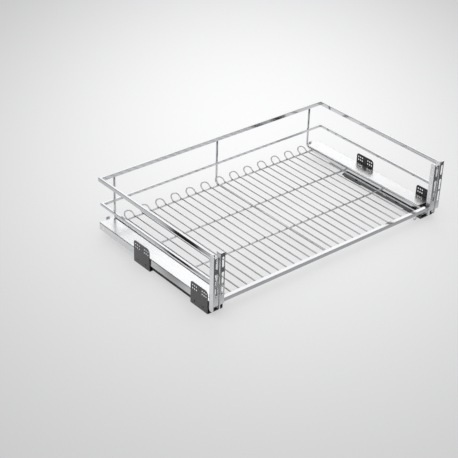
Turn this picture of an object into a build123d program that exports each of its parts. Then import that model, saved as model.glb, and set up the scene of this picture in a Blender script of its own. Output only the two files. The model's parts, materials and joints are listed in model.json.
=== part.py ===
from build123d import *
import math
import os

# Pull-out wire basket for a kitchen base cabinet, seated on its two telescopic
# undermount runners, with the basket pushed home.
# Working frame: X across, Y to the back, Z up, in millimetres. Z = 0 is the
# surface under the runner feet, and Y = 0 lies just behind the front bar.
# Nodes are written about the middle of the whole object's depth.

# ---- overall sizes ----
WIDTH = 864.0  # over the side plates: the clear inside of a 900 mm cabinet
BASKET_WIDTH = 858.0  # over the two side channels
RUNNER_TOP = 40.0  # top of the drawer profiles, which carry the channels
CHANNEL_SHEET = 1.2
DECK = RUNNER_TOP + CHANNEL_SHEET  # top of the side channels
BRACKET_FRONT = -21.0
HOOK_END = 503.0
MID_Y = (BRACKET_FRONT + HOOK_END) / 2

# ---- side channels ----
CHANNEL_FRONT, CHANNEL_REAR = 12.0, 496.0
CHANNEL_OUT = BASKET_WIDTH / 2
CHANNEL_IN = 378.75
OUTER_WALL, INNER_WALL = 22.0, 12.0
CHANNEL_CORNER = 10.0

# ---- rails round the basket ----
RAIL_OUT = 427.0
RAIL_WIDTH = 8.0
RAIL_EDGE = 1.0
TOP_RAIL_TOP, TOP_RAIL_TALL = DECK + 144.0, 12.0
MID_RAIL_TOP, MID_RAIL_TALL = DECK + 65.0, 8.0
TOP_RAIL_REAR = 499.0
RAIL_FRONT = -12.0

# ---- posts and floor wires ----
POST_WIRE = 6.5
POST_X = 375.5
POST_Y = 495.0
POST_BEND = 12.0
MID_RAIL_REAR = POST_Y - POST_WIRE / 2
CROSS_WIRE = 5.0
CROSS_Y = (0.5, 155.5, 312.0, 470.5)
FLOOR_WIRE = 4.0
FLOOR_TOP = DECK - 1.0
FLOOR_Z = FLOOR_TOP - FLOOR_WIRE / 2
CROSS_Z = FLOOR_TOP - FLOOR_WIRE - CROSS_WIRE / 2
LOOPS = 13
LOOP_PITCH = 56.3
LOOP_RADIUS = 14.0
LOOP_FOOT_Y = 471.8
LOOP_FOOT_BEND = 8.0
LOOP_LEAN = 54.0  # degrees back from upright
LOOP_LENGTH = 22.0

# ---- front bar and its wire hook ----
BAR_FRONT, BAR_REAR = -15.3, -2.0
BAR_TALL = 12.0
BAR_WALL = 1.2
HOOK_WIRE = 3.0
HOOK_X, HOOK_Y = 352.0, -8.5
HOOK_DROP, HOOK_RADIUS = 12.0, 4.5

# ---- front brackets: two slotted angles side by side ----
ANGLE_SHEET = 2.0
ANGLE_DEEP = 17.0
ANGLE_STEP = 22.0  # from the first angle to the second
WEB_WIDE, FLANGE_WIDE = 18.0, 15.0
ANGLE_FOOT = DECK - 28.0
WEB_FOOT, WEB_TOP = DECK - 10.0, DECK + 138.0
BASKET_ANGLE_TOP, FRONT_ANGLE_TOP = DECK + 143.0, DECK + 147.0
SLOT_WIDE, KEYHOLE = 7.0, 11.0
TOP_SLOT = (DECK + 103.0, DECK + 135.0)
KEY_SLOT = (DECK + 54.0, DECK + 89.0)
LOW_SLOT = (DECK + 17.0, DECK + 49.0)
STUD = 6.0
STUD_HEIGHTS = (DECK + 12.0, DECK + 124.0)
LEFT_ANGLE_X = -429.0
RIGHT_ANGLE_X = 395.0
FOOT_SHEET = 2.0
BEND_ROOM = 1.0  # clear of the fold inside each angle
FOOT_REAR = 40.0

# ---- runner: section centre and the three nested profiles ----
RUNNER_X = 395.5
PROFILE_SHEET = 1.5
CABINET_HALF, CABINET_LIP, CABINET_TOP = 15.0, 8.0, 21.0
MIDDLE_LOW_HALF, MIDDLE_HIGH_HALF, MIDDLE_WEB = 11.5, 10.0, 6.0
MIDDLE_LOW_Z, MIDDLE_HIGH_Z = 11.0, 30.5
DRAWER_HALF, DRAWER_LIP, DRAWER_FOOT = 13.0, 7.0, 22.5
CABINET_Y = (-2.0, 333.0)
MIDDLE_Y = (0.0, 404.0)
DRAWER_Y = (38.0, 490.0)

# ---- roller cages ----
CAGE_SHEET = 1.4
LOWER_CAGE_Y, LOWER_ROLLERS = (115.0, 265.0), 5
UPPER_CAGE_Y, UPPER_ROLLERS = (116.0, 336.0), 6
ROLL_GAP = 0.15  # free play above and below each roller

# ---- side plates ----
PLATE_SHEET = 1.5
PLATE_LONG, PLATE_TALL = 72.0, 70.0
PLATE_FRONTS = (-2.0, 252.0)
PLATE_FOOT_WIDE = WIDTH / 2 - (RUNNER_X - CABINET_HALF)
PLATE_CORNERS = (12.0, 8.0)  # front and rear top corners
PLATE_HOLE = 5.0
HOLE_COLUMNS = (12.0, 20.0, 28.0)  # each way from the plate's middle
HOLE_ROWS = (50.0, 60.0)
LOW_HOLES, LOW_HOLE_HEIGHT = 18.0, 14.0
RIVET = 5.0
RIVET_SWELL = 0.04  # a set rivet fills its hole

# ---- front catch, its lever and height wheel, rear hook, damper ----
CATCH_Y = (14.0, 38.0)
CATCH_FLOOR = 33.0
LEVER_Z = (23.0, 27.0)
LEVER_PIN = 3.0
PIN_GRIP = 0.02  # the pin is pressed into the catch
LEVER_PIVOT = (-12.3, 30.0)
WHEEL, WHEEL_THICK, WHEEL_SHAFT = 14.0, 4.5, 4.0
WHEEL_U, WHEEL_Z = 19.0, 29.5
WHEEL_GRIPS = 12
RUNNING = 0.06
REAR_HOOK_WIDE, REAR_HOOK_SHEET = 12.0, 2.0
DAMPER_Y = (82.0, 248.0)
DAMPER_WIDE, DAMPER_Z = 13.0, (3.0, 18.5)


def block(x, y, z):
    """A box between a low and a high value on each axis."""
    size = [high - low for low, high in (x, y, z)]
    middle = [(high + low) / 2 for low, high in (x, y, z)]
    return Pos(*middle) * Box(*size)


def along_y(section, y):
    """A section drawn in X and Z, drawn out between two depths."""
    plane = Plane(origin=(0, y[0], 0), x_dir=(1, 0, 0), z_dir=(0, -1, 0))
    return extrude(plane * section, amount=y[1] - y[0], dir=(0, 1, 0))


def folded(points, sheet, bend):
    """The section of a folded sheet that follows a centre line."""
    return trace(FilletPolyline(*points, radius=bend), line_width=sheet)


def rod(points, thick, bends):
    """A bent wire: straight runs joined by tangent arcs."""
    path = FilletPolyline(*points, radius=bends)
    start = Plane(origin=path @ 0, z_dir=path % 0)
    return sweep(start * Circle(thick / 2), path=path)


def peg(start, direction, long, thick):
    """A round peg from a point along a direction."""
    return extrude(Plane(origin=start, z_dir=direction) * Circle(thick / 2), amount=long)


def other_side(shape):
    """The left-hand twin of a right-hand piece."""
    return mirror(shape, about=Plane.YZ)


# ---- rails ----
def side_rail(top, tall, rear):
    """A side bar whose rear end is mitred to meet the back bar."""
    inner = RAIL_OUT - RAIL_WIDTH
    corners = [(inner, RAIL_FRONT), (RAIL_OUT, RAIL_FRONT), (RAIL_OUT, rear)]
    corners.append((inner, rear - RAIL_WIDTH))
    face = Plane.XY.offset(top - tall) * make_face(Polyline(*corners, close=True))
    bar = extrude(face, amount=tall)
    return fillet(bar.edges().filter_by(Axis.Y), RAIL_EDGE)


def back_rail(top, tall, rear):
    """The back bar, mitred at both ends."""
    inner = RAIL_OUT - RAIL_WIDTH
    corners = [(-RAIL_OUT, rear), (RAIL_OUT, rear)]
    corners += [(inner, rear - RAIL_WIDTH), (-inner, rear - RAIL_WIDTH)]
    face = Plane.XY.offset(top - tall) * make_face(Polyline(*corners, close=True))
    bar = extrude(face, amount=tall)
    return fillet(bar.edges().filter_by(Axis.X), RAIL_EDGE)


# ---- wires ----
def post(x, run_z, front):
    """An upright behind the basket that turns forward under its floor."""
    top = TOP_RAIL_TOP - TOP_RAIL_TALL
    points = [(x, POST_Y, top), (x, POST_Y, run_z), (x, front, run_z)]
    return rod(points, POST_WIRE, POST_BEND)


def floor_hairpin(x):
    """Two floor wires joined at the back by one upright loop."""
    lean = math.radians(LOOP_LEAN)
    top_y = LOOP_FOOT_Y + LOOP_LENGTH * math.sin(lean)
    top_z = FLOOR_Z + LOOP_LENGTH * math.cos(lean)
    reach = LOOP_RADIUS + 0.1
    near, far = x - reach, x + reach
    points = [
        (near, BAR_REAR, FLOOR_Z),
        (near, LOOP_FOOT_Y, FLOOR_Z),
        (near, top_y, top_z),
        (far, top_y, top_z),
        (far, LOOP_FOOT_Y, FLOOR_Z),
        (far, BAR_REAR, FLOOR_Z),
    ]
    bends = [LOOP_FOOT_BEND, LOOP_RADIUS, LOOP_RADIUS, LOOP_FOOT_BEND]
    return rod(points, FLOOR_WIRE, bends)


def floor_wires():
    middle = (LOOPS - 1) / 2
    return [floor_hairpin((i - middle) * LOOP_PITCH) for i in range(LOOPS)]


def cross_wires():
    start = -CHANNEL_IN
    return [peg((start, y, CROSS_Z), (1, 0, 0), 2 * CHANNEL_IN, CROSS_WIRE) for y in CROSS_Y]


# ---- side channel ----
def side_channel():
    """A downturned sheet channel with a short rear flange for the hook."""
    half = CHANNEL_SHEET / 2
    inner, outer, top = CHANNEL_IN + half, CHANNEL_OUT - half, DECK - half
    line = [(inner, DECK - INNER_WALL), (inner, top), (outer, top), (outer, DECK - OUTER_WALL)]
    body = along_y(folded(line, CHANNEL_SHEET, CHANNEL_SHEET), (CHANNEL_FRONT, CHANNEL_REAR))
    # the outer wall's rear bottom corner is rounded, with an oval hole above it
    low = body.edges().filter_by(Axis.X).sort_by(Axis.Z)[:4].sort_by(Axis.Y)[-1]
    body = fillet(low, CHANNEL_CORNER)
    oval = Plane(origin=(CHANNEL_OUT - 3, CHANNEL_REAR - 16, DECK - 15), z_dir=(1, 0, 0))
    body -= extrude(oval * SlotOverall(12, 5), amount=6)
    # the rear flange hangs just below the sheet and the hook passes through it
    x = (RUNNER_X - DRAWER_HALF, RUNNER_X + DRAWER_HALF)
    y = (CHANNEL_REAR - CHANNEL_SHEET, CHANNEL_REAR)
    flange = block(x, y, (CATCH_FLOOR, RUNNER_TOP))
    hole = REAR_HOOK_WIDE / 2 + 0.5
    hook_z = (RUNNER_TOP - PROFILE_SHEET - REAR_HOOK_SHEET - 0.5, RUNNER_TOP - 1)
    flange -= block((RUNNER_X - hole, RUNNER_X + hole), (y[0] - 1, y[1] + 1), hook_z)
    return body + flange


# ---- front brackets ----
def slot_row(x, y, flange_wide):
    """Cutters for a plain slot, a keyhole and a plain slot, top to bottom."""
    plane = Plane(origin=(x, y, 0), x_dir=(1, 0, 0), z_dir=(0, -1, 0))
    row = []
    for low, high in (TOP_SLOT, KEY_SLOT, LOW_SLOT):
        shape = Pos(0, (low + high) / 2) * Rot(0, 0, 90) * SlotOverall(high - low, SLOT_WIDE)
        if (low, high) == KEY_SLOT:
            shape += Pos(0, high - KEYHOLE / 2) * Circle(min(KEYHOLE, flange_wide - 4) / 2)
        row.append(extrude(plane * shape, amount=ANGLE_SHEET * 3, both=True))
    return row


def angle(x, wide, top, tongue_hole):
    """A folded angle: a plate that runs back and a slotted flange that faces front."""
    half = ANGLE_SHEET / 2
    back, front = BRACKET_FRONT + ANGLE_DEEP, BRACKET_FRONT + half
    line = [(x + half, back), (x + half, front), (x + wide, front)]
    section = folded(line, ANGLE_SHEET, ANGLE_SHEET * 0.75)
    body = extrude(Plane.XY.offset(ANGLE_FOOT) * section, amount=top - ANGLE_FOOT)
    beyond = (x + ANGLE_SHEET, x + wide + 1)
    deep = (BRACKET_FRONT - 1, back)
    body -= block(beyond, deep, (ANGLE_FOOT - 1, WEB_FOOT))
    if top < FRONT_ANGLE_TOP:
        body -= block(beyond, deep, (WEB_TOP, top + 1))
    for cutter in slot_row(x + (wide + ANGLE_SHEET) / 2, front, wide - ANGLE_SHEET):
        body -= cutter
    # the plate's lower end is a rounded tongue
    tongue = block((x - 1, x + ANGLE_SHEET + 1), (BRACKET_FRONT - 1, back + 1), (0, ANGLE_FOOT + 8))
    plane = Plane(origin=(x - 1, BRACKET_FRONT + ANGLE_DEEP / 2, ANGLE_FOOT + 8), z_dir=(1, 0, 0))
    round_end = extrude(plane * Circle(ANGLE_DEEP / 2), amount=ANGLE_SHEET + 2)
    body -= tongue - round_end
    if tongue_hole:
        body -= extrude(plane * Circle(4.5), amount=ANGLE_SHEET + 2)
    return body


def bracket_studs(x):
    """The two studs that join the pair of angles."""
    start = x + ANGLE_SHEET
    depth = BRACKET_FRONT + ANGLE_DEEP / 2 + 1
    long = ANGLE_STEP - ANGLE_SHEET
    return [peg((start, depth, z), (1, 0, 0), long, STUD) for z in STUD_HEIGHTS]


def bracket_foot(x, leg):
    """The tab between the angles that runs back under the channel's top."""
    z = (RUNNER_TOP - FOOT_SHEET, RUNNER_TOP)
    back = BRACKET_FRONT + ANGLE_DEEP
    front = BRACKET_FRONT + ANGLE_SHEET + BEND_ROOM
    pad = block((x + ANGLE_SHEET, x + ANGLE_STEP), (front, back), z)
    return pad + block(leg, (back, FOOT_REAR), z)


def front_bar():
    """The rectangular tube across the front, between the two brackets."""
    ends = (LEFT_ANGLE_X + ANGLE_STEP + ANGLE_SHEET, RIGHT_ANGLE_X)
    tube = block(ends, (BAR_FRONT, BAR_REAR), (DECK - BAR_TALL, DECK))
    tube = fillet(tube.edges().filter_by(Axis.X), RAIL_EDGE)
    bore_y = (BAR_FRONT + BAR_WALL, BAR_REAR - BAR_WALL)
    bore_z = (DECK - BAR_TALL + BAR_WALL, DECK - BAR_WALL)
    return tube - block(ends, bore_y, bore_z)


def wire_hook():
    """The small open hook below the right end of the front bar."""
    top = DECK - BAR_TALL
    low = top - HOOK_DROP - HOOK_RADIUS
    tip = HOOK_X - 2 * HOOK_RADIUS
    points = [(HOOK_X, HOOK_Y, top), (HOOK_X, HOOK_Y, low), (tip, HOOK_Y, low)]
    points.append((tip, HOOK_Y, low + HOOK_RADIUS + 2))
    return rod(points, HOOK_WIRE, HOOK_RADIUS - 0.1)


# ---- runner profiles ----
def cabinet_profile():
    """The fixed rail: a trough whose lips hold the middle profile down."""
    half = PROFILE_SHEET / 2
    wall, floor, lip = CABINET_HALF - half, PLATE_SHEET + half, CABINET_TOP - half
    line = [(-CABINET_LIP, lip), (-wall, lip), (-wall, floor)]
    line += [(wall, floor), (wall, lip), (CABINET_LIP, lip)]
    body = along_y(folded(line, PROFILE_SHEET, PROFILE_SHEET), CABINET_Y)
    # slots in the inner wall, then the rear end cut back at a slant
    for y, long in ((20.0, 40.0), (96.0, 14.0), (150.0, 14.0), (268.0, 18.0)):
        plane = Plane(origin=(-CABINET_HALF - 1, y, 12), x_dir=(0, 1, 0), z_dir=(1, 0, 0))
        body -= extrude(plane * SlotOverall(long, 5), amount=4)
    for y in PLATE_FRONTS:
        for along in (0.25, 0.75):
            body -= peg((0, y + PLATE_LONG * along, 0), (0, 0, 1), 5, RIVET)
    slant = Plane.YZ * make_face(
        Polyline(
            (CABINET_Y[1] + 1, CABINET_TOP + 1),
            (CABINET_Y[1] - 16, CABINET_TOP + 1),
            (CABINET_Y[1] + 1, 6),
            close=True,
        )
    )
    body -= extrude(slant, amount=CABINET_HALF + 2, both=True)
    return Pos(RUNNER_X, 0, 0) * body


def middle_profile():
    """The travelling rail: one flange in each of its neighbours."""
    t = PROFILE_SHEET
    low = block((-MIDDLE_LOW_HALF, MIDDLE_LOW_HALF), MIDDLE_Y, (MIDDLE_LOW_Z, MIDDLE_LOW_Z + t))
    high = block((-MIDDLE_HIGH_HALF, MIDDLE_HIGH_HALF), MIDDLE_Y, (MIDDLE_HIGH_Z, MIDDLE_HIGH_Z + t))
    web_z = (MIDDLE_LOW_Z + t, MIDDLE_HIGH_Z)
    webs = block((-MIDDLE_WEB, MIDDLE_WEB), MIDDLE_Y, web_z)
    webs -= block((-MIDDLE_WEB + t, MIDDLE_WEB - t), MIDDLE_Y, web_z)
    return Pos(RUNNER_X, 0, 0) * (low + webs + high)


def drawer_profile():
    """The top rail, which the basket's channel sits on."""
    half = PROFILE_SHEET / 2
    wall, top, lip = DRAWER_HALF - half, RUNNER_TOP - half, DRAWER_FOOT + half
    line = [(-DRAWER_LIP, lip), (-wall, lip), (-wall, top)]
    line += [(wall, top), (wall, lip), (DRAWER_LIP, lip)]
    body = along_y(folded(line, PROFILE_SHEET, PROFILE_SHEET), DRAWER_Y)
    return Pos(RUNNER_X, 0, 0) * body


# ---- roller cages ----
def roller_places(span, count):
    """Evenly spaced roller centres within a cage."""
    step = (span[1] - span[0]) / count
    return [span[0] + step * (i + 0.5) for i in range(count)]


def cage_sizes(lower):
    """Half-widths and heights of one cage and its rollers, as named values."""
    t = PROFILE_SHEET
    if lower:
        main = (PLATE_SHEET + t, MIDDLE_LOW_Z)
        guard = (MIDDLE_LOW_Z + t, CABINET_TOP - t)
        return dict(main=main, guard=guard, wall=(12.0, 13.0), guard_in=8.4, roll=10.0)
    main = (MIDDLE_HIGH_Z + t, RUNNER_TOP - t)
    guard = (DRAWER_FOOT + t, MIDDLE_HIGH_Z)
    return dict(main=main, guard=guard, wall=(10.4, 11.1), guard_in=7.4, roll=9.0)


def roller_cage(lower):
    """A plastic cage that wraps the flange's edges and spaces the rollers."""
    size = cage_sizes(lower)
    span = LOWER_CAGE_Y if lower else UPPER_CAGE_Y
    count = LOWER_ROLLERS if lower else UPPER_ROLLERS
    main_z, guard_z = sum(size["main"]) / 2, sum(size["guard"]) / 2
    half = CAGE_SHEET / 2
    inner, outer = size["wall"]
    body = block((-outer, outer), span, (main_z - half, main_z + half))
    low, high = sorted((main_z, guard_z))
    for side in (-1, 1):
        wall = sorted((side * inner, side * outer))
        body += block(wall, span, (low - half, high + half))
        shelf = sorted((side * size["guard_in"], side * inner))
        body += block(shelf, span, (guard_z - half, guard_z + half))
    main_tall = size["main"][1] - size["main"][0]
    guard_tall = size["guard"][1] - size["guard"][0]
    for y in roller_places(span, count):
        reach = main_tall / 2 + 0.3
        window = size["roll"] + 0.3
        body -= block((-window, window), (y - reach, y + reach), (main_z - 1, main_z + 1))
        reach = guard_tall / 2 + 0.3
        for side in (-1, 1):
            notch = sorted((side * (size["guard_in"] - 1), side * (inner - 0.3)))
            body -= block(notch, (y - reach, y + reach), (guard_z - 1, guard_z + 1))
    return Pos(RUNNER_X, 0, 0) * body


def rollers(lower):
    """The steel rollers of one cage: a long one and two short ones a place."""
    size = cage_sizes(lower)
    span = LOWER_CAGE_Y if lower else UPPER_CAGE_Y
    count = LOWER_ROLLERS if lower else UPPER_ROLLERS
    main_z, guard_z = sum(size["main"]) / 2, sum(size["guard"]) / 2
    main_thick = size["main"][1] - size["main"][0] - 2 * ROLL_GAP
    guard_thick = size["guard"][1] - size["guard"][0] - 2 * ROLL_GAP
    guard_long = size["wall"][0] - size["guard_in"] - 0.8
    found = []
    for y in roller_places(span, count):
        start = (RUNNER_X - size["roll"], y, main_z)
        found.append(peg(start, (1, 0, 0), 2 * size["roll"], main_thick))
        for side in (-1, 1):
            begin = RUNNER_X + side * size["guard_in"]
            found.append(peg((begin, y, guard_z), (side, 0, 0), guard_long, guard_thick))
    return found


# ---- side plates and rivets ----
def side_plate(front):
    """An upright plate with a foot under the runner and rows of screw holes."""
    half = PLATE_SHEET / 2
    out = WIDTH / 2 - half
    line = [(WIDTH / 2 - PLATE_FOOT_WIDE, half), (out, half), (out, PLATE_TALL)]
    body = along_y(folded(line, PLATE_SHEET, PLATE_SHEET), (front, front + PLATE_LONG))
    tops = body.edges().filter_by(Axis.X).sort_by(Axis.Z)[-2:].sort_by(Axis.Y)
    body = fillet(tops[0], PLATE_CORNERS[0])
    tops = body.edges().filter_by(Axis.X).sort_by(Axis.Z)[-3:].sort_by(Axis.Y)
    body = fillet(tops[-1], PLATE_CORNERS[1])
    middle = front + PLATE_LONG / 2
    places = [(side * y, z) for y in HOLE_COLUMNS for z in HOLE_ROWS for side in (-1, 1)]
    places += [(-LOW_HOLES, LOW_HOLE_HEIGHT), (LOW_HOLES, LOW_HOLE_HEIGHT)]
    for y, z in places:
        body -= peg((WIDTH / 2 - 3, middle + y, z), (1, 0, 0), 6, PLATE_HOLE)
    for along in (0.25, 0.75):
        body -= peg((RUNNER_X, front + PLATE_LONG * along, -1), (0, 0, 1), 5, RIVET)
    return body


def profile_rivets():
    """Flush rivets that hold the cabinet profiles on the plates' feet."""
    found = []
    for front in PLATE_FRONTS:
        for along in (0.25, 0.75):
            y = front + PLATE_LONG * along
            for side in (-1, 1):
                place = (side * RUNNER_X, y, 0)
                found.append(peg(place, (0, 0, 1), PLATE_SHEET + PROFILE_SHEET, RIVET + RIVET_SWELL))
    return found


# ---- catch, lever, wheel, hook and damper ----
def front_catch():
    """The moulded catch at the front of the drawer profile."""
    body = block((-DRAWER_HALF, DRAWER_HALF), CATCH_Y, (CATCH_FLOOR, RUNNER_TOP - 0.1))
    body = fillet(body.edges().filter_by(Axis.Z).sort_by(Axis.Y)[:2], 4)
    tongue_top = RUNNER_TOP - PROFILE_SHEET - 0.1
    body += block((-9.5, 9.5), (CATCH_Y[1], CATCH_Y[1] + 14), (CATCH_FLOOR, tongue_top))
    body += block((10.7, 24.0), (CATCH_Y[0], CATCH_Y[1]), (23.0, 36.0))
    body += block((-14.0, -10.7), (22.0, CATCH_Y[1]), (LEVER_Z[1] + 0.4, CATCH_FLOOR))
    body -= peg((WHEEL_U, CATCH_Y[0] - 1, WHEEL_Z), (0, 1, 0), 11, WHEEL_SHAFT + 2 * RUNNING)
    u, y = LEVER_PIVOT
    body -= peg((u, y, LEVER_Z[1]), (0, 0, 1), 4.4, LEVER_PIN - PIN_GRIP)
    return Pos(RUNNER_X, 0, 0) * body


def lever_pin():
    """The pivot pin that hangs from the catch, with a head under the lever."""
    u, y = LEVER_PIVOT
    top = LEVER_Z[1] + 4.4
    low = LEVER_Z[0] - 0.4
    body = peg((u, y, low), (0, 0, 1), top - low, LEVER_PIN)
    body += peg((u, y, low - 1), (0, 0, 1), 1, LEVER_PIN + 2)
    return Pos(RUNNER_X, 0, 0) * body


def catch_lever():
    """The finger lever that frees the basket from its runner."""
    u, y = LEVER_PIVOT
    outline = Polyline(
        (u + 3.6, y + 5), (u - 6, y + 5), (u - 24, y - 9), (u - 24, y - 16), (u - 14, y - 16), (u + 3.6, y - 6),
        close=True,
    )
    body = extrude(Plane.XY.offset(LEVER_Z[0]) * make_face(outline), amount=LEVER_Z[1] - LEVER_Z[0])
    body = fillet(body.edges().filter_by(Axis.Z), 2)
    body -= peg((u, y, LEVER_Z[0] - 1), (0, 0, 1), 6, LEVER_PIN + 2 * RUNNING)
    return Pos(RUNNER_X, 0, 0) * body


def height_wheel():
    """The notched wheel that lifts the basket's front, on its shaft."""
    front = CATCH_Y[0] - WHEEL_THICK - 0.3
    plane = Plane(origin=(WHEEL_U, front, WHEEL_Z), x_dir=(1, 0, 0), z_dir=(0, -1, 0))
    disc = Circle(WHEEL / 2) - PolarLocations(WHEEL / 2, WHEEL_GRIPS) * Circle(0.8)
    body = extrude(plane * disc, amount=-WHEEL_THICK)
    body += peg((WHEEL_U, front, WHEEL_Z), (0, 1, 0), WHEEL_THICK + 8, WHEEL_SHAFT)
    body -= block((WHEEL_U - 3, WHEEL_U + 3), (front - 1, front + 1.2), (WHEEL_Z - 0.6, WHEEL_Z + 0.6))
    return Pos(RUNNER_X, 0, 0) * body


def rear_hook():
    """The strap under the drawer profile's top that hooks behind the channel."""
    top = RUNNER_TOP - PROFILE_SHEET
    half = REAR_HOOK_WIDE / 2
    side = (RUNNER_X - half, RUNNER_X + half)
    body = block(side, (462.0, HOOK_END), (top - REAR_HOOK_SHEET, top))
    return body + block(side, (HOOK_END - REAR_HOOK_SHEET, HOOK_END), (top, top + 8))


def damper_housing():
    """The soft-close unit along the outer side of the cabinet profile."""
    start = RUNNER_X + CABINET_HALF
    x = (start, start + DAMPER_WIDE)
    body = block(x, DAMPER_Y, DAMPER_Z)
    body = fillet(body.edges().filter_by(Axis.Y).sort_by(Axis.X)[-2:], 3)
    nose = peg((start + DAMPER_WIDE / 2, DAMPER_Y[0] - 9, 11), (0, 1, 0), 9, 9)
    for y in (110.0, 165.0, 220.0):
        body -= block((x[1] - 1.2, x[1] + 1), (y - 20, y + 20), (7, 14.5))
    return body + nose


def gather(pieces):
    """Several separate solids under one node."""
    solids = []
    for piece in pieces:
        solids.extend(piece.solids())
    return Compound(children=solids)


nodes = {}

# rails, posts and wires
nodes["right_top_rail"] = side_rail(TOP_RAIL_TOP, TOP_RAIL_TALL, TOP_RAIL_REAR)
nodes["left_top_rail"] = other_side(nodes["right_top_rail"])
nodes["back_top_rail"] = back_rail(TOP_RAIL_TOP, TOP_RAIL_TALL, TOP_RAIL_REAR)
nodes["right_mid_rail"] = side_rail(MID_RAIL_TOP, MID_RAIL_TALL, MID_RAIL_REAR)
nodes["left_mid_rail"] = other_side(nodes["right_mid_rail"])
nodes["back_mid_rail"] = back_rail(MID_RAIL_TOP, MID_RAIL_TALL, MID_RAIL_REAR)
SIDE_RUN_Z = CROSS_Z + (CROSS_WIRE + POST_WIRE) / 2
CENTER_RUN_Z = CROSS_Z - (CROSS_WIRE + POST_WIRE) / 2
nodes["right_post"] = post(POST_X, SIDE_RUN_Z, BAR_REAR)
nodes["left_post"] = post(-POST_X, SIDE_RUN_Z, BAR_REAR)
nodes["center_post"] = post(0, CENTER_RUN_Z, BAR_REAR)
nodes["floor_wires"] = gather(floor_wires())
nodes["cross_wires"] = gather(cross_wires())

# channels, front bar and brackets
nodes["right_side_channel"] = side_channel()
nodes["left_side_channel"] = other_side(nodes["right_side_channel"])
nodes["front_bar"] = front_bar()
nodes["wire_hook"] = wire_hook()
for hand, x in (("left", LEFT_ANGLE_X), ("right", RIGHT_ANGLE_X)):
    nodes[hand + "_basket_angle"] = angle(x, WEB_WIDE, BASKET_ANGLE_TOP, False)
    nodes[hand + "_front_angle"] = angle(x + ANGLE_STEP, FLANGE_WIDE, FRONT_ANGLE_TOP, True)
    nodes[hand + "_bracket_studs"] = gather(bracket_studs(x))
nodes["left_bracket_foot"] = bracket_foot(LEFT_ANGLE_X, (-RAIL_OUT, -412.0))
nodes["right_bracket_foot"] = bracket_foot(RIGHT_ANGLE_X, (412.0, RAIL_OUT))

# the two runners
makers = {
    "cabinet_profile": cabinet_profile(),
    "middle_profile": middle_profile(),
    "drawer_profile": drawer_profile(),
    "lower_cage": roller_cage(True),
    "upper_cage": roller_cage(False),
    "lower_rollers": gather(rollers(True)),
    "upper_rollers": gather(rollers(False)),
    "front_side_plate": side_plate(PLATE_FRONTS[0]),
    "rear_side_plate": side_plate(PLATE_FRONTS[1]),
    "front_catch": front_catch(),
    "lever_pin": lever_pin(),
    "catch_lever": catch_lever(),
    "height_wheel": height_wheel(),
    "rear_hook": rear_hook(),
    "damper_housing": damper_housing(),
}
for name, shape in makers.items():
    nodes["right_" + name] = shape
    nodes["left_" + name] = other_side(shape)
nodes["profile_rivets"] = gather(profile_rivets())

os.makedirs("parts", exist_ok=True)
for name, shape in nodes.items():
    export_step(Pos(0, -MID_Y, 0) * shape, f"parts/{name}.step")
print(len(nodes), "nodes written")
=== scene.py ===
# %% [markdown]
# # Pull-out cabinet basket
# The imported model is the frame: every solid is already in its real place, in
# metres, with +X to the right, +Y to the back of the cabinet and +Z up. This
# notebook gives it the finish of the real thing: plated wires that are truly
# round, rolled steel with softened edges, weld beads, and a studio around it.

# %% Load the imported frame
import json
import math

import bmesh
import bpy
import numpy as np
from mathutils import Matrix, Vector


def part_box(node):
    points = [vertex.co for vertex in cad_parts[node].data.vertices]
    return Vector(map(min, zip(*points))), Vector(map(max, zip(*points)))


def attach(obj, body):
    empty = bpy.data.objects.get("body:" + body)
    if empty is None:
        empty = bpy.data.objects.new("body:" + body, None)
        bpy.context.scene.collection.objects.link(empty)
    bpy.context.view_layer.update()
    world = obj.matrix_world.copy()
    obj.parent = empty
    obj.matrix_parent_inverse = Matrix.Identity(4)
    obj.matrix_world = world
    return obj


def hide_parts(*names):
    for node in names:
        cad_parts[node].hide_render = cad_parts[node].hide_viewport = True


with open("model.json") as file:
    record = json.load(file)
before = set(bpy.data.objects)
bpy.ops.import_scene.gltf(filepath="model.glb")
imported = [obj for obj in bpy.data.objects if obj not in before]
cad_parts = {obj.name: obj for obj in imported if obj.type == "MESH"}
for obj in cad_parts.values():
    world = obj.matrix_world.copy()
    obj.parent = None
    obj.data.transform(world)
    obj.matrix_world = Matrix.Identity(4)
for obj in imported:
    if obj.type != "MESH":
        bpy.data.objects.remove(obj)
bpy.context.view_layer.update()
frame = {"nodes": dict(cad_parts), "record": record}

# %% [markdown]
# ## Camera
# The photograph was taken with a long lens from the front left, looking down.
# The camera could be placed by eye, but a fit to the corners of the rails gives
# its place and its three turns directly, so those numbers are used here.

# %% The photograph's camera
YAW, PITCH, ROLL = (math.radians(v) for v in (40.48, 31.17, -1.84))
CAMERA_PLACE = (-2.108, -2.283, 1.860)
LENS, SENSOR, SIGHT = 96.97, 36.0, 100.0  # millimetres, millimetres, and metres seen


def in_scene(name, data):
    """A new object for a mesh, a lamp or a camera."""
    thing = bpy.data.objects.new(name, data)
    bpy.context.scene.collection.objects.link(thing)
    return thing


ahead = np.array([math.sin(YAW) * math.cos(PITCH), math.cos(YAW) * math.cos(PITCH), -math.sin(PITCH)])
level = np.array([math.cos(YAW), -math.sin(YAW), 0.0])
down = np.cross(ahead, level)
right = math.cos(ROLL) * level + math.sin(ROLL) * down
below = math.cos(ROLL) * down - math.sin(ROLL) * level
camera = in_scene("camera", bpy.data.cameras.new("camera"))
turn = np.eye(4)
turn[:3, :3] = np.column_stack([right, -below, -ahead])
turn[:3, 3] = CAMERA_PLACE
camera.matrix_world = Matrix(turn.tolist())
camera.data.lens, camera.data.sensor_width = LENS, SENSOR
camera.data.clip_end = SIGHT
bpy.context.scene.camera = camera

# %% [markdown]
# ## Shader sums
# A finish is a small sum of patterns: a soft cloud, a fine streak, a crystal
# edge. Written as node calls it is hard to read, so one class wraps a socket and
# takes over the signs for plus, minus and times, and one method adds any node.

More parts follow.
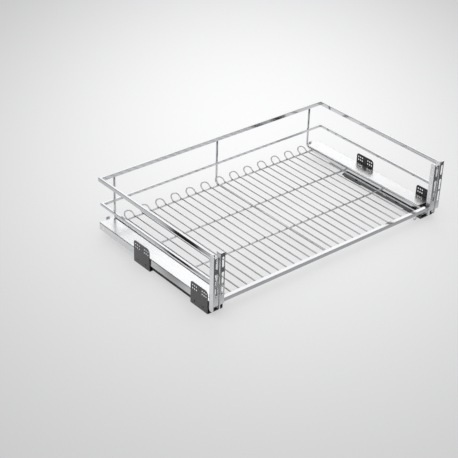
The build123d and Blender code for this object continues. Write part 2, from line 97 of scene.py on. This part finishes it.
# %% Sockets that do sums


class Value:
    """The output of a node. A sum on it adds a Math node."""

    def __init__(self, shader, socket):
        self.shader, self.socket = shader, socket

    def math(self, operation, first, second):
        return self.shader.add("Math", {"operation": operation}, (first, second))

    def __add__(self, other):
        return self.math("ADD", self, other)

    def __radd__(self, other):
        return self.math("ADD", other, self)

    def __sub__(self, other):
        return self.math("SUBTRACT", self, other)

    def __rsub__(self, other):
        return self.math("SUBTRACT", other, self)

    def __mul__(self, other):
        return self.math("MULTIPLY", self, other)

    def __rmul__(self, other):
        return self.math("MULTIPLY", other, self)


class Shader:
    """A material, or a world, and its nodes."""

    def __init__(self, name, kept_in="materials"):
        self.material = getattr(bpy.data, kept_in).new(name)
        self.material.use_nodes = True
        self.tree = self.material.node_tree
        self.tree.nodes.clear()
        self.ending = "World" if kept_in == "worlds" else "Material"
        self.place = self.add("TexCoord", out="Object")

    def add(self, kind, settings=None, sockets=(), out=0):
        """A node of a kind: its settings first, then its sockets' values or links."""
        node = self.tree.nodes.new("ShaderNode" + kind)
        for key, value in (settings or {}).items():
            setattr(node, key, value)
        pairs = sockets.items() if isinstance(sockets, dict) else enumerate(sockets)
        for key, value in pairs:
            if isinstance(value, Value):
                self.tree.links.new(value.socket, node.inputs[key])
            else:
                node.inputs[key].default_value = value
        return Value(self, node.outputs[out])

    def cloud(self, per_metre, stretch=(1, 1, 1), detail=2.0):
        """Noise from 0 to 1, with about so many blobs a metre, drawn out along an axis."""
        place = self.add("VectorMath", {"operation": "MULTIPLY"}, (self.place, stretch))
        return self.add("TexNoise", {}, {"Vector": place, "Scale": per_metre, "Detail": detail}, "Fac")

    def blend(self, share, first, second):
        """A colour mix: first at 0, second at 1."""
        colours = {0: share, 6: (*first, 1), 7: (*second, 1)}
        return self.add("Mix", {"data_type": "RGBA"}, colours, 2)

    def spot(self, centre, wide, long, turned=0.0):
        """exp(-(u / long)^2 - (w / wide)^2), with u along +Y turned towards +X."""
        away = self.add("VectorMath", {"operation": "SUBTRACT"}, (self.place, centre))
        spun = self.add("VectorRotate", {"rotation_type": "Z_AXIS"}, {"Vector": away, "Angle": turned})
        scaled = self.add("VectorMath", {"operation": "MULTIPLY"}, (spun, (1 / wide, 1 / long, 0)))
        square = self.add("VectorMath", {"operation": "DOT_PRODUCT"}, (scaled, scaled), "Value")
        return self.add("Math", {"operation": "EXPONENT"}, (-1.0 * square,))

    def seen(self):
        """1 on the way from the camera, straight or by a mirror or a glass, and else 0."""
        rays = [self.add("LightPath", out=f"Is {kind} Ray") for kind in ("Camera", "Glossy", "Transmission")]
        return rays[0].math("MAXIMUM", rays[0].math("MAXIMUM", rays[0], rays[1]), rays[2])

    def relief(self, height, metres, strength=1.0):
        """A bump from a height of 0 to 1 that stands for so many metres."""
        return self.add("Bump", {}, {"Height": height, "Distance": metres, "Strength": strength}, "Normal")

    def finish(self, **sockets):
        """The Principled surface that takes the sums, and the output."""
        named = {key.replace("_", " ").title(): value for key, value in sockets.items()}
        surface = self.add("BsdfPrincipled", {}, named, "BSDF")
        self.add_output(surface)
        return self.material

    def add_output(self, surface):
        output = self.tree.nodes.new("ShaderNodeOutput" + self.ending)
        self.tree.links.new(surface.socket, output.inputs["Surface"])


# %% [markdown]
# ## Bright chrome on wire
# Chrome over drawn wire is a near mirror. A single grey would look like plastic,
# so the grey wanders a little, the roughness varies in soft streaks that run from
# front to back, as most of the wires do, and a faint orange-peel relief bends the
# reflections.

# %% Chrome for wires, rails and the front bar


def chrome_wire():
    shader = Shader("chrome_wire")
    haze = shader.cloud(14.0, detail=3.0)
    peel = shader.cloud(600.0, detail=1.0)
    film = shader.cloud(60.0, (1, 0.25, 1))
    colour = shader.blend(haze, (0.58, 0.585, 0.595), (0.68, 0.685, 0.695))
    return shader.finish(
        base_color=colour,
        metallic=1.0,
        roughness=0.05 + 0.08 * film,
        normal=shader.relief(peel, 0.00001, 0.15),
    )


# %% [markdown]
# ## Plated sheet of the side channels
# The channels are rolled sheet with the same plating, but the sheet under it is
# not polished, so it is brighter and softer. Roll lines run along its length.

# %% Plated channel sheet


def channel_sheet():
    shader = Shader("channel_sheet")
    rolled = shader.cloud(240.0, (1, 0.008, 1), 3.0)
    wash = shader.cloud(9.0)
    colour = shader.blend(wash, (0.72, 0.725, 0.73), (0.79, 0.795, 0.80))
    return shader.finish(
        base_color=colour,
        metallic=1.0,
        roughness=0.25 + 0.08 * rolled,
        normal=shader.relief(rolled, 0.00002, 0.05),
    )


# %% [markdown]
# ## Zinc-plated bracket steel
# The angles at the front are stamped from cold-rolled strip and zinc plated. The
# plating is fine-grained and a little cloudy, in its grey and in its gloss.

# %% Bracket steel


def bracket_steel():
    shader = Shader("bracket_steel")
    cloudy = shader.cloud(45.0, detail=4.0)
    grain = shader.cloud(1400.0, (1, 1, 0.08))
    colour = shader.blend(cloudy, (0.82, 0.825, 0.83), (0.92, 0.925, 0.93))
    return shader.finish(
        base_color=colour,
        metallic=0.88,
        roughness=0.16 + 0.12 * cloudy,
        normal=shader.relief(grain, 0.00002, 0.4),
    )


# %% [markdown]
# ## Galvanised and bare profiles
# Roller runners are rolled from galvanised strip. Its zinc freezes in crystals a
# few millimetres across, which a Voronoi pattern gives: each cell has its own
# grey. The travelling profile and the rollers take a brighter pair of greys, with
# coarser crystals and less roughness, for steel that is planished by rolling.

# %% Runner steels


def spangled(name, dark, light, roughness, crystals=160.0):
    shader = Shader(name)
    cell = shader.add("TexVoronoi", {"feature": "F1"}, {"Vector": shader.place, "Scale": crystals}, "Color")
    grey = shader.add("SeparateColor", {}, {"Color": cell}, "Red")
    rolled = shader.cloud(300.0, (1, 0.02, 1))
    share = 0.6 * grey + 0.4 * rolled
    return shader.finish(
        base_color=shader.blend(share, dark, light),
        metallic=1.0,
        roughness=roughness + 0.12 * share,
        normal=shader.relief(rolled, 0.00003, 0.35),
    )


def zinc_profile():
    return spangled("zinc_profile", (0.62, 0.63, 0.64), (0.80, 0.81, 0.82), 0.26)


def bright_profile():
    return spangled("bright_profile", (0.70, 0.70, 0.71), (0.84, 0.84, 0.85), 0.16, 90.0)


# %% [markdown]
# ## Dark plated steel
# The fixed profile and its side plates carry a dark grey coat over the steel. No
# such coat is even, so a soft cloud and a fine speckle lift the grey a little,
# with a thin clear coat on top.

# %% Dark steels


def dark_steel(name, dark, light):
    shader = Shader(name)
    cloudy = shader.cloud(30.0, detail=4.0)
    speck = shader.cloud(1100.0, detail=1.0)
    share = 0.75 * cloudy + 0.35 * speck - 0.05
    return shader.finish(
        base_color=shader.blend(share, dark, light),
        metallic=0.55,
        roughness=0.30 + 0.16 * cloudy,
        coat_weight=0.15,
        coat_roughness=0.2,
        normal=shader.relief(speck, 0.00002, 0.5),
    )


def dark_profile():
    return dark_steel("dark_profile", (0.075, 0.076, 0.08), (0.16, 0.16, 0.165))


def dark_plate():
    return dark_steel("dark_plate", (0.07, 0.07, 0.073), (0.15, 0.15, 0.153))


# %% [markdown]
# ## Moulded plastics
# The catch, lever and wheel are black nylon from a spark-eroded mould, which
# leaves a fine dry grain. The roller cages are pale acetal, smoother and waxy.

# %% Plastics


def moulded(name, dark, light, roughness, grain_metres):
    shader = Shader(name)
    grain = shader.cloud(1600.0, detail=1.0)
    cloudy = shader.cloud(60.0)
    return shader.finish(
        base_color=shader.blend(cloudy, dark, light),
        roughness=roughness + 0.10 * grain,
        normal=shader.relief(grain, grain_metres, 0.6),
    )


def cage_plastic():
    return moulded("cage_plastic", (0.66, 0.67, 0.67), (0.76, 0.77, 0.77), 0.34, 0.00001)


def black_plastic():
    return moulded("black_plastic", (0.022, 0.022, 0.024), (0.040, 0.040, 0.042), 0.38, 0.00004)


# %% [markdown]
# ## Finishes on the solids
# Each finish is made once, by its function. The record says which one a node has,
# so the solids take theirs from it, and the pieces made below do the same.

# %% Give every solid its finish
makers = (
    chrome_wire, channel_sheet, bracket_steel, zinc_profile, bright_profile,
    dark_profile, dark_plate, cage_plastic, black_plastic,
)
finishes = {maker.__name__: maker() for maker in makers}
slot_of = {part["node"]: part["material_slot"] for part in frame["record"]["subparts"]}
body_of = {node: body for body, nodes in frame["record"]["behaviour"]["bodies"].items() for node in nodes}
for node, thing in frame["nodes"].items():
    for place in thing.material_slots:
        place.material = finishes[slot_of[node]]
print(len(finishes), "finishes on", len(slot_of), "nodes")

# %% [markdown]
# ## Surfaces from arrays
# A wire or a bar is one profile carried along a path. Each ring of the skin is
# the profile at one step of the path, so the whole skin is a grid of points that
# numpy works out at once. Blender's own curves could do this too, but a grid
# shows where every point comes from and gives even, closed faces.

# %% Skins and pieces
MID_Y = 241.0  # the frame is centred on the depth, which this puts back


def metres(points):
    """Millimetres measured from behind the front bar, as metres in the frame."""
    return (np.asarray(points, float) - (0.0, MID_Y, 0.0)) / 1000.0


def skin(rings):
    """Quads between neighbouring rings (steps, around, 3), and a flat face at each end."""
    steps, around = rings.shape[:2]
    index = np.arange(steps * around).reshape(steps, around)
    near, far = index[:-1], index[1:]
    quads = np.stack([near, np.roll(near, -1, 1), np.roll(far, -1, 1), far], -1)
    faces = quads.reshape(-1, 4).tolist() + [index[0, ::-1].tolist(), index[-1].tolist()]
    return rings.reshape(-1, 3), faces


def together(shapes):
    """Several shapes as one array of points and one list of faces."""
    points, faces, start = [], [], 0
    for shape_points, shape_faces in shapes:
        points.append(shape_points)
        faces += [[corner + start for corner in face] for face in shape_faces]
        start += len(shape_points)
    return np.concatenate(points), faces


def outwards(mesh):
    """Turns the faces of closed skins outwards."""
    work = bmesh.new()
    work.from_mesh(mesh)
    bmesh.ops.recalc_face_normals(work, faces=work.faces)
    work.to_mesh(mesh)
    work.free()


def show(name, mesh, like, replaced=()):
    """Puts a mesh in the scene with the finish and on the body of a node."""
    mesh.materials.clear()
    mesh.materials.append(finishes[slot_of[like]])
    mesh.shade_smooth()
    thing = in_scene(name, mesh)
    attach(thing, body_of[like])
    if replaced:
        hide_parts(*replaced)
    return thing


def piece(name, shape, like, replaced=()):
    """One mesh from points and faces."""
    points, faces = shape
    mesh = bpy.data.meshes.new(name)
    mesh.from_pydata(points.tolist(), [], faces)
    outwards(mesh)
    return show(name, mesh, like, replaced)


def even_normals(thing):
    """Normals weighted by area, so that flats stay flat beside small rounds."""
    thing.modifiers.new("even normals", "WEIGHTED_NORMAL").keep_sharp = True
    return thing


# %% [markdown]
# ## Round wires
# The floor, the posts and the cross wires are drawn steel wire, bent before they
# are welded and plated. A bend is an arc of the wire's centre line, and a cut end
# has a slightly broken edge. The solids in the frame have these forms in flat
# facets, so the smooth skins below stand for them.

# %% Bent wires
WIRE_SIDES = 20
ARC_STEP = math.radians(6)
SHORTEST_ARC = 3  # points on an arc of any size
EASED = ((0.0, 0.72), (0.10, 0.90), (0.28, 1.0))  # way in and size, in wire radii


def bent_line(corners, bends):
    """Straight runs joined by arcs: an arc starts bend * tan(turn / 2) before its
    corner, and its points are the spoke from its centre, turned evenly."""
    corners = np.asarray(corners, float)
    line = [corners[:1]]
    for before, corner, after, bend in zip(corners, corners[1:], corners[2:], bends):
        come = (corner - before) / np.linalg.norm(corner - before)
        leave = (after - corner) / np.linalg.norm(after - corner)
        angle = math.acos(np.clip(come @ leave, -1, 1))
        reach = bend * math.tan(angle / 2)
        inward = (leave - come) / np.linalg.norm(leave - come)
        centre = corner + inward * bend / math.cos(angle / 2)
        first, last = corner - come * reach - centre, corner + leave * reach - centre
        share = np.linspace(0, 1, max(SHORTEST_ARC, round(angle / ARC_STEP)))[:, None]
        spoke = np.sin((1 - share) * angle) * first + np.sin(share * angle) * last
        line.append(centre + spoke / math.sin(angle))
    line.append(corners[-1:])
    return np.concatenate(line)


def wire(corners, thick, bends=(), across=(1, 0, 0)):
    """A round wire: line + radius * (cos(a) * side + sin(a) * up), where side is
    square to the line and to the direction across, and up is square to both."""
    line = bent_line(corners, bends)
    radius = thick / 2
    along = np.gradient(line, axis=0)
    along[0], along[-1] = line[1] - line[0], line[-1] - line[-2]
    along /= np.linalg.norm(along, axis=1, keepdims=True)
    ends_in = [line[0] + along[0] * radius * way for way, _ in EASED]
    ends_out = [line[-1] - along[-1] * radius * way for way, _ in EASED[::-1]]
    sizes = [size for _, size in EASED]
    sizes = np.array(sizes + [1.0] * (len(line) - 2) + sizes[::-1])
    line = np.concatenate([ends_in, line[1:-1], ends_out])
    rings = len(EASED)
    along = np.concatenate([along[:1].repeat(rings, 0), along[1:-1], along[-1:].repeat(rings, 0)])
    side = np.cross(across, along)
    side /= np.linalg.norm(side, axis=1, keepdims=True)
    up = np.cross(along, side)
    angle = np.linspace(0, 2 * math.pi, WIRE_SIDES, endpoint=False)[None, :, None]
    spokes = np.cos(angle) * side[:, None] + np.sin(angle) * up[:, None]
    points, faces = skin(line[:, None] + radius * sizes[:, None, None] * spokes)
    return metres(points), faces


# %% [markdown]
# ## The looped wire floor
# Thirteen hairpins make the floor. Each is one wire that runs to the back, turns
# up into a leaning loop and comes forward again. The loops are the mark of this
# basket, so they keep the frame's sizes: 28 mm wide and leaning 54 degrees.

# %% Floor and cross wires
FLOOR_Z, CROSS_Z = 38.2, 33.7
FLOOR_WIRE, CROSS_WIRE = 4.0, 5.0
LOOPS, LOOP_PITCH, LOOP_RADIUS = 13, 56.3, 14.0
LOOP_HALF = LOOP_RADIUS + 0.1  # half a hairpin's width, with room between the two top bends
LOOP_FOOT_Y, LOOP_FOOT_BEND, LOOP_LONG = 471.8, 8.0, 22.0
LEAN = math.radians(54)
BAR_REAR = -2.0
CROSS_Y = (0.5, 155.5, 312.0, 470.5)
CHANNEL_IN = 378.75


def hairpin(x):
    """Two floor wires joined by one upright loop that leans back."""
    top_y = LOOP_FOOT_Y + LOOP_LONG * math.sin(LEAN)
    top_z = FLOOR_Z + LOOP_LONG * math.cos(LEAN)
    half = [(BAR_REAR, FLOOR_Z), (LOOP_FOOT_Y, FLOOR_Z), (top_y, top_z)]
    corners = [(x - LOOP_HALF, y, z) for y, z in half] + [(x + LOOP_HALF, y, z) for y, z in half[::-1]]
    bends = (LOOP_FOOT_BEND, LOOP_RADIUS, LOOP_RADIUS, LOOP_FOOT_BEND)
    return wire(corners, FLOOR_WIRE, bends, (0, math.cos(LEAN), -math.sin(LEAN)))


loop_middles = [(i - (LOOPS - 1) / 2) * LOOP_PITCH for i in range(LOOPS)]
wire_places = [x + side * LOOP_HALF for x in loop_middles for side in (-1, 1)]
piece("floor_hairpins", together([hairpin(x) for x in loop_middles]), "floor_wires", ["floor_wires"])
crossing = [
    wire([(-CHANNEL_IN, y, CROSS_Z), (CHANNEL_IN, y, CROSS_Z)], CROSS_WIRE, (), (0, 0, 1)) for y in CROSS_Y
]
piece("crossing_wires", together(crossing), "cross_wires", ["cross_wires"])
print(len(loop_middles), "hairpins,", len(wire_places), "floor wires")

# %% [markdown]
# ## Posts and the wire hook
# Three upright wires stand behind the back bars and turn forward under the
# floor. The small hook hangs below the right end of the front bar.

# %% Posts and hook
POST_TOP, POST_Y, POST_BEND, POST_WIRE = 173.2, 495.0, 12.0, 6.5
SIDE_POST_X = 375.5
SIDE_RUN_Z = CROSS_Z + (CROSS_WIRE + POST_WIRE) / 2
CENTRE_RUN_Z = CROSS_Z - (CROSS_WIRE + POST_WIRE) / 2
HOOK_LINE = [(352.0, -8.5, 29.2), (352.0, -8.5, 12.7), (343.0, -8.5, 12.7), (343.0, -8.5, 19.2)]
HOOK_WIRE, HOOK_BENDS = 3.0, (4.4, 4.4)

posts = {"left_post": (-SIDE_POST_X, SIDE_RUN_Z), "center_post": (0.0, CENTRE_RUN_Z)}
posts["right_post"] = (SIDE_POST_X, SIDE_RUN_Z)
for name, (x, run_z) in posts.items():
    corners = [(x, POST_Y, POST_TOP), (x, POST_Y, run_z), (x, BAR_REAR, run_z)]
    piece(name + "_wire", wire(corners, POST_WIRE, (POST_BEND,)), name, [name])
piece("hanging_hook", wire(HOOK_LINE, HOOK_WIRE, HOOK_BENDS, (0, 1, 0)), "wire_hook", ["wire_hook"])

# %% [markdown]
# ## Rectangular bars
# The rails are drawn bars with broken edges, mitred at the back corners. The
# profile is a rectangle with small quarter rounds, and an end ring leans by 45
# degrees where a bar meets its neighbour, so that both share one seam.

# %% Rails and front bar
ROUND_STEPS = 4
EDGE_ROUND = 0.0011


def rounded_rectangle(wide, tall, edge):
    """Corner centre + edge * (cos, sin) of a quarter turn, at each of four corners."""
    angle = np.linspace(0, math.pi / 2, ROUND_STEPS + 1)
    quarter = np.arange(4)[:, None] * math.pi / 2 + angle
    centre = np.array([(1, 1), (-1, 1), (-1, -1), (1, -1)]) * (wide / 2 - edge, tall / 2 - edge)
    return (centre[:, None] + edge * np.stack([np.cos(quarter), np.sin(quarter)], -1)).reshape(-1, 2)


def bar(node, along, leans=(0, 0)):
    """A bar that fills a node's box. A point s from the middle of the bar's width is
    moved by lean * s along the bar at each end, which makes the mitre."""
    low, high = (np.array(corner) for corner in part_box(node))
    middle, size, other = (low + high) / 2, high - low, 1 - along
    profile = rounded_rectangle(size[other], size[2], EDGE_ROUND)
    rings = np.zeros((2, len(profile), 3))
    rings[..., other] = middle[other] + profile[:, 0]
    rings[..., 2] = middle[2] + profile[:, 1]
    half = size[other] / 2
    rings[0, :, along] = low[along] + abs(leans[0]) * half + leans[0] * profile[:, 0]
    rings[1, :, along] = high[along] - abs(leans[1]) * half + leans[1] * profile[:, 0]
    return skin(rings)


for level_name in ("top_rail", "mid_rail"):
    for hand, lean in (("left", -1), ("right", 1)):
        node = f"{hand}_{level_name}"
        even_normals(piece(node + "_bar", bar(node, 1, (0, lean)), node, [node]))
    node = "back_" + level_name
    even_normals(piece(node + "_bar", bar(node, 0, (-1, 1)), node, [node]))
even_normals(piece("front_tube", bar("front_bar", 0), "front_bar", ["front_bar"]))

# %% [markdown]
# ## Rolled and stamped steel
# A stamped edge is never knife sharp: a thin line of light runs along it. The
# channels, profiles, plates and brackets keep the frame's shapes, so a copy of
# each node is merged, its flat facets are joined, and a Bevel eases its edges.

# %% Eased copies of the sheet pieces
SHARP, FLAT = math.radians(35), math.radians(0.5)
EDGE_STEPS = 2
MERGE, BRACKET_MERGE = 0.001, 0.25  # millimetres; a bracket's bends are the tight ones


def eased(node, wide, merge):
    """A merged copy of a node with its edges eased by so many millimetres. Points
    nearer to each other than merge are joined, so that a tight bend's short facets
    leave room for the new edge."""
    mesh = frame["nodes"][node].data.copy()
    work = bmesh.new()
    work.from_mesh(mesh)
    bmesh.ops.remove_doubles(work, verts=work.verts, dist=merge / 1000.0)
    bmesh.ops.dissolve_limit(work, angle_limit=FLAT, verts=work.verts, edges=work.edges)
    work.to_mesh(mesh)
    work.free()
    thing = show(node + "_eased", mesh, node, [node])
    bevel = thing.modifiers.new("eased edges", "BEVEL")
    bevel.width, bevel.segments = wide / 1000.0, EDGE_STEPS
    bevel.limit_method, bevel.angle_limit = "ANGLE", SHARP
    bevel.use_clamp_overlap, bevel.harden_normals = False, False
    return even_normals(thing)


sheet_edges = {
    "side_channel": 0.25, "basket_angle": 0.25, "front_angle": 0.25, "bracket_foot": 0.35,
    "cabinet_profile": 0.25, "middle_profile": 0.25, "drawer_profile": 0.25,
    "front_side_plate": 0.3, "rear_side_plate": 0.3, "rear_hook": 0.3,
    "front_catch": 0.5, "catch_lever": 0.5, "damper_housing": 0.6,
}
for name, wide in sheet_edges.items():
    merge = BRACKET_MERGE if name.endswith("angle") else MERGE
    for hand in ("left", "right"):
        eased(f"{hand}_{name}", wide, merge)
print(2 * len(sheet_edges), "eased pieces")

# %% [markdown]
# ## Weld beads
# Every crossing in the basket is a resistance weld, so the metal swells a little
# where two wires meet. Without the beads the wires look laid on each other. A
# bead is a squashed ball, with few faces because there are well over a hundred.

# %% Beads and collars
BEAD_RINGS, BEAD_SIDES, COLLAR_RINGS = 6, 10, 5
POLE = 0.12  # a bead's first ring is this far from its pole, in radians
FLOOR_BEAD, POST_BEAD = (2.5, 2.9, 1.0), (3.4, 2.9, 1.1)  # half sizes
FRONT_COLLAR, FRONT_LONG = (3.0, 2.02), 1.8  # where a floor wire meets the front bar
WALL_COLLAR, WALL_LONG = (3.4, 2.52), 1.6  # where a cross wire meets a channel


def bead(centre, reach):
    """Centre + reach * (sin(t) cos(a), sin(t) sin(a), cos(t)): a squashed ball."""
    t = np.linspace(POLE, math.pi - POLE, BEAD_RINGS)[:, None]
    a = np.linspace(0, 2 * math.pi, BEAD_SIDES, endpoint=False)[None, :]
    ball = np.stack([np.sin(t) * np.cos(a), np.sin(t) * np.sin(a), np.cos(t) + 0 * a], -1)
    points, faces = skin(np.asarray(centre) + ball * np.asarray(reach))
    return metres(points), faces


def collar(centre, axis, radii, long):
    """A fillet ring where a wire runs into a wall: its radius falls from the first
    value to the second over its length, as a quarter circle does."""
    share = np.linspace(0, 1, COLLAR_RINGS)
    size = radii[1] + (radii[0] - radii[1]) * (1 - np.sin(share * math.pi / 2))
    a = np.linspace(0, 2 * math.pi, WIRE_SIDES, endpoint=False)
    first, second = [i for i in range(3) if i != axis]
    rings = np.zeros((COLLAR_RINGS, WIRE_SIDES, 3))
    rings[..., axis] = centre[axis] + (share * long)[:, None]
    rings[..., first] = centre[first] + size[:, None] * np.cos(a)
    rings[..., second] = centre[second] + size[:, None] * np.sin(a)
    points, faces = skin(rings)
    return metres(points), faces


join_z = CROSS_Z + CROSS_WIRE / 2
floor_beads = [bead((x, y, join_z), FLOOR_BEAD) for x in wire_places for y in CROSS_Y]
floor_beads += [collar((x, BAR_REAR, FLOOR_Z), 1, FRONT_COLLAR, FRONT_LONG) for x in wire_places]
post_beads = [bead((x, y, join_z), POST_BEAD) for x in (-SIDE_POST_X, SIDE_POST_X) for y in CROSS_Y]
post_beads += [bead((0.0, y, CROSS_Z - CROSS_WIRE / 2), POST_BEAD) for y in CROSS_Y]
wall_beads = [collar((-CHANNEL_IN, y, CROSS_Z), 0, WALL_COLLAR, WALL_LONG) for y in CROSS_Y]
wall_beads += [collar((CHANNEL_IN, y, CROSS_Z), 0, WALL_COLLAR, -WALL_LONG) for y in CROSS_Y]
piece("floor_weld_beads", together(floor_beads), "floor_wires")
piece("post_weld_beads", together(post_beads), "cross_wires")
piece("wall_weld_beads", together(wall_beads), "cross_wires")
print(len(floor_beads) + len(post_beads) + len(wall_beads), "welds")

# %% [markdown]
# ## Studio
# The photograph has a seamless pale floor, brightest behind the basket. Here it is
# one flat square with that pool of light painted in its colour. The camera and the
# reflections see it partly lit by itself, a painted glow, so that the shadows on it stay faint.

# %% Floor
FLOOR_HALF = 30.0
GLOW_CENTRE = (0.35, 0.47, 0.0)
GLOW_LONG, GLOW_WIDE = 1.80, 1.10
FAR_OFF, FAR_GLOW = 5.0, 0.6  # metres and level of the pale floor beyond the set
OWN_LIGHT = 0.6  # the share of the floor's brightness that no shadow reaches
PAINT_GREYS = (0.49, 0.49, 0.492), (0.96, 0.96, 0.96)  # outside the glow, and in it
OWN_GREYS = (0.44, 0.44, 0.442), (0.985, 0.985, 0.985)


def glow_painted_floor():
    """A grey with a painted pool of light on it, partly lit by itself as a painted glow, so that shadows
    stay faint.
    """
    shader = Shader("glow_painted_floor")
    # The glow is a painted pool of light, brightest behind the basket.
    near = shader.spot(GLOW_CENTRE, GLOW_WIDE, GLOW_LONG, YAW)
    far = FAR_GLOW * (1.0 - shader.spot(GLOW_CENTRE, FAR_OFF, FAR_OFF))
    glow = near.math("MAXIMUM", near, far)
    grey = shader.blend(glow, *PAINT_GREYS)
    paint = shader.add("BsdfDiffuse", {}, {"Color": grey}, "BSDF")
    own = shader.blend(glow, *OWN_GREYS)
    light = shader.add("Emission", {}, {"Color": own}, "Emission")
    # The emission is a painted glow, so that the shadows on the floor stay faint.
    shader.add_output(shader.add("MixShader", {}, (OWN_LIGHT * shader.seen(), paint, light)))
    return shader.material


def level_square(name, middle, half):
    """A flat square mesh, level, round its middle."""
    mesh = bpy.data.meshes.new(name)
    corners = np.array([(-1, -1, 0), (1, -1, 0), (1, 1, 0), (-1, 1, 0)]) * half + middle
    mesh.from_pydata(corners.tolist(), [], [(0, 1, 2, 3)])
    return mesh


floor_mesh = level_square("studio_floor", (0.0, 0.0, 0.0), FLOOR_HALF)
floor_mesh.materials.append(glow_painted_floor())
studio_floor = in_scene("studio_floor", floor_mesh)

# %% [markdown]
# ## Flags and cards
# Chrome shows what stands round it, and a photographer sets black flags there to
# draw its bars. A low one goes all the way round, a tall one stands behind, and a
# level one hangs above the top lamp. Two soft-edged cards lie on the floor where
# the left rails and the front brackets mirror it to the photograph's camera. Only
# reflections show any of them, so they darken what is glossy and not the floor.

# %% Flags that only metal sees
FLAG_SIDES = 96


def only_in_mirrors(name, mesh, paint):
    """A stage piece that nothing but a glossy reflection shows."""
    mesh.materials.append(paint)
    thing = in_scene(name, mesh)
    for ray in ("camera", "diffuse", "transmission", "shadow"):
        setattr(thing, "visible_" + ray, False)


def curtain(name, far, tall, first, last):
    """Part of a drum round the set, between two bearings in degrees from +Y to +X."""
    bearing = np.radians(np.linspace(first, last, FLAG_SIDES))
    foot = np.stack([np.sin(bearing), np.cos(bearing), 0 * bearing], -1) * far
    index = np.arange(2 * FLAG_SIDES).reshape(2, -1)
    faces = np.stack([index[0, :-1], index[0, 1:], index[1, 1:], index[1, :-1]], -1)
    mesh = bpy.data.meshes.new(name)
    mesh.from_pydata(np.concatenate([foot, foot + (0, 0, tall)]).tolist(), [], faces.tolist())
    only_in_mirrors(name, mesh, flag_cloth)


flag_cloth = Shader("flag_cloth").finish(base_color=(0.03, 0.03, 0.03, 1), roughness=1.0)
curtain("studio_flags", far=6.0, tall=1.7, first=0, last=360)
curtain("tall_flag", far=5.5, tall=6.5, first=-80, last=75)
top_mesh = level_square("top_flag", middle=(0.0, 0.2, 3.4), half=1.8)
only_in_mirrors("top_flag", top_mesh, flag_cloth)

# %% Cards on the floor
CARD_DARK = 1.8  # the spot times this, held at 1, so that the middle is evenly dark
CARD_REACH = 2.5  # half the card's side, in lengths of its spot


def shade_card(name, middle, wide, long, turned=0.0):
    """A card flat on the floor, dark in its middle and clear at its edge."""
    shader = Shader(name)
    dark = shader.add("BsdfDiffuse", {}, {"Color": (0.02, 0.02, 0.02, 1)}, "BSDF")
    clear = shader.add("BsdfTransparent", {}, {}, "BSDF")
    dimmed = CARD_DARK * shader.spot(middle, wide, long, turned)
    share = dimmed.math("MINIMUM", dimmed, 1.0)
    shader.add_output(shader.add("MixShader", {}, (share, clear, dark)))
    mesh = level_square(name, middle, CARD_REACH * max(wide, long))
    only_in_mirrors(name, mesh, shader.material)


shade_card("left_card", middle=(-0.58, 0.056, 0.001), wide=0.05, long=0.15, turned=-YAW)
shade_card("front_card", middle=(0.15, -0.53, 0.002), wide=1.30, long=0.19)

# %% [markdown]
# ## Lamps and sky
# Two square soft boxes light the set, a wide one overhead and one from behind on
# the right. The sky fills the shadows with a slightly cool light, while the camera
# and the reflections see a plain grey one.

# %% Lamps and sky


def soft_box(name, place, aim, wide, watts):
    """A square lamp turned from its place towards a point."""
    lamp = bpy.data.lights.new(name, "AREA")
    lamp.shape, lamp.size, lamp.energy = "SQUARE", wide, watts
    thing = in_scene(name, lamp)
    back = np.subtract(place, aim)
    back = back / np.linalg.norm(back)
    side = np.cross((0, 1, 0), back)
    side = side / np.linalg.norm(side)
    pose = np.eye(4)
    pose[:3, :3] = np.column_stack([side, np.cross(back, side), back])
    pose[:3, 3] = place
    thing.matrix_world = Matrix(pose.tolist())


soft_box("top_box", place=(0.0, 0.2, 3.2), aim=(0.0, 0.1, 0.0), wide=3.0, watts=26.0)
soft_box("back_box", place=(1.80, 2.15, 1.75), aim=(0.0, 0.0, 0.1), wide=2.2, watts=22.0)

sky = Shader("studio_sky", "worlds")
fill = sky.add("Background", {}, {"Color": (0.97, 0.98, 1.0, 1), "Strength": 0.68})
backdrop = sky.add("Background", {}, {"Color": (0.86, 0.86, 0.865, 1), "Strength": 1.0})
sky.add_output(sky.add("MixShader", {}, (sky.seen(), fill, backdrop)))
bpy.context.scene.world = sky.material
bpy.context.scene.view_settings.view_transform = "Standard"
